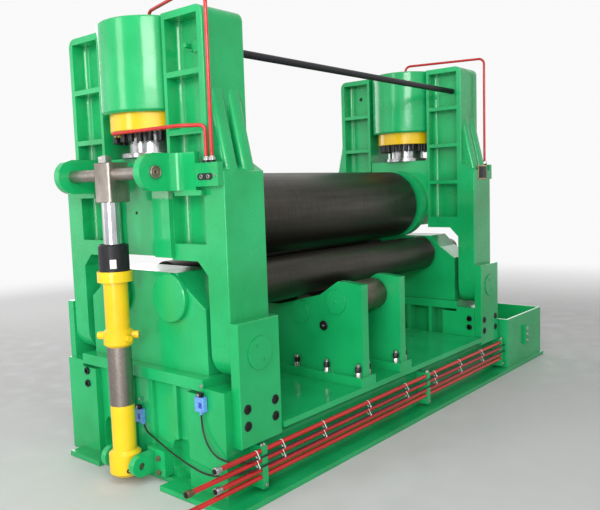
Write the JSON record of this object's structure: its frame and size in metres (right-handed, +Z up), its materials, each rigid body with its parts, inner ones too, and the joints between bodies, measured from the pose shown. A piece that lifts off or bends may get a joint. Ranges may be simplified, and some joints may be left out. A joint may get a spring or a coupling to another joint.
{
  "type": "plate rolling machine",
  "caption": "Hydraulic plate bending machine: a pressed top roll over paired bottom rolls between portal housings, with a tipping end housing, on a welded base.",
  "frame": {"origin": "on the floor midway between the two end housings, on the roll centre plane", "axes": "+X along the rolls from the tipping housing to the fixed housing, +Y from the front with the pipes to the back, +Z up"},
  "size_m": [4.39, 1.73, 2.695],
  "materials": {
    "green_paint": "glossy enamel",
    "yellow_paint": "glossy enamel",
    "roll_steel": "dark turned steel with a thin oil film",
    "chrome_rod": "polished hard chrome",
    "machined_steel": "machined",
    "black_paint": "satin",
    "red_paint": "glossy enamel",
    "black_rubber": "cable sheath",
    "blue_plastic": "moulded"
  },
  "bodies": {
    "frame": {"base_frame": "green_paint", "base_pipes": "red_paint", "control_cable_lower": "black_rubber", "control_cable_upper": "black_rubber", "far_gland_ring": "yellow_paint", "far_housing": "green_paint", "far_keepers": "green_paint", "far_pedestal": "green_paint", "far_pipe": "red_paint", "far_pivot_blocks": "green_paint", "far_pivot_pins": "green_paint", "far_tie_nut": "green_paint", "idler_covers": "green_paint", "limit_switches": "blue_plastic", "near_bearing_covers": "green_paint", "near_pedestal": "green_paint", "near_pivot_blocks": "green_paint", "near_pivot_pins": "green_paint", "pipe_clamps": "green_paint", "support_stands": "green_paint", "tie_bar": "black_paint", "trunnion_lugs": "green_paint"},
    "tip_housing": {"near_housing": "green_paint", "near_gland_ring": "yellow_paint", "near_ears": "green_paint", "cross_shaft": "machined_steel", "near_tie_nut": "green_paint", "near_pipes": "red_paint", "near_keepers": "green_paint"},
    "near_slide": {"near_slider": "green_paint", "near_piston_rod": "chrome_rod"},
    "far_slide": {"far_slider": "green_paint", "far_piston_rod": "chrome_rod"},
    "top_roll": {"top_roll": "roll_steel"},
    "bottom_roll_front": {"bottom_roll_front": "roll_steel"},
    "bottom_roll_rear": {"bottom_roll_rear": "roll_steel"},
    "idler_front_inner": {"idler_front_inner": "roll_steel"},
    "idler_front_outer": {"idler_front_outer": "roll_steel"},
    "idler_rear_inner": {"idler_rear_inner": "roll_steel"},
    "idler_rear_outer": {"idler_rear_outer": "roll_steel"},
    "tip_rod": {"tip_crosshead": "machined_steel", "tip_rod": "chrome_rod"},
    "tip_barrel": {"tip_barrel": "yellow_paint", "tip_gland": "black_paint"}
  },
  "joints": [
    {"name": "housing_tip", "type": "hinge", "parent": "frame", "child": "tip_housing", "pos_m": [-1.415, 0, 0.78], "axis": [0, -1, 0], "range_deg": [0, 30]},
    {"name": "roll_lift", "type": "slide", "parent": "frame", "child": "far_slide", "axis": [0, 0, 1], "range_m": [-0.06, 0.035]},
    {"name": "near_slider_lift", "type": "slide", "parent": "tip_housing", "child": "near_slide", "axis": [0, 0, 1], "range_m": [-0.06, 0.035]},
    {"name": "top_roll_spin", "type": "hinge", "parent": "far_slide", "child": "top_roll", "pos_m": [0, 0, 1.475], "axis": [1, 0, 0], "continuous": true},
    {"name": "bottom_roll_front_spin", "type": "hinge", "parent": "frame", "child": "bottom_roll_front", "pos_m": [0, -0.255, 1.055], "axis": [1, 0, 0], "continuous": true},
    {"name": "bottom_roll_rear_spin", "type": "hinge", "parent": "frame", "child": "bottom_roll_rear", "pos_m": [0, 0.255, 1.055], "axis": [1, 0, 0], "continuous": true},
    {"name": "idler_front_inner_spin", "type": "hinge", "parent": "frame", "child": "idler_front_inner", "pos_m": [0, -0.262, 0.8018], "axis": [1, 0, 0], "continuous": true},
    {"name": "idler_front_outer_spin", "type": "hinge", "parent": "frame", "child": "idler_front_outer", "pos_m": [0, -0.571, 0.891], "axis": [1, 0, 0], "continuous": true},
    {"name": "idler_rear_inner_spin", "type": "hinge", "parent": "frame", "child": "idler_rear_inner", "pos_m": [0, 0.262, 0.8018], "axis": [1, 0, 0], "continuous": true},
    {"name": "idler_rear_outer_spin", "type": "hinge", "parent": "frame", "child": "idler_rear_outer", "pos_m": [0, 0.571, 0.891], "axis": [1, 0, 0], "continuous": true},
    {"name": "rod_swing", "type": "hinge", "parent": "tip_housing", "child": "tip_rod", "pos_m": [-1.745, 0, 1.75], "axis": [0, 1, 0], "range_deg": [0, 12]},
    {"name": "barrel_stroke", "type": "slide", "parent": "tip_rod", "child": "tip_barrel", "axis": [0, 0, 1], "range_m": [0, 0.217]}
  ],
  "couplings": [
    {"joint": "near_slider_lift", "follows": "roll_lift", "ratio": 1},
    {"joint": "bottom_roll_rear_spin", "follows": "bottom_roll_front_spin", "ratio": 1},
    {"joint": "rod_swing", "follows": "housing_tip", "ratio": 0.398},
    {"joint": "barrel_stroke", "follows": "housing_tip", "m_per_rad": 0.4124}
  ]
}
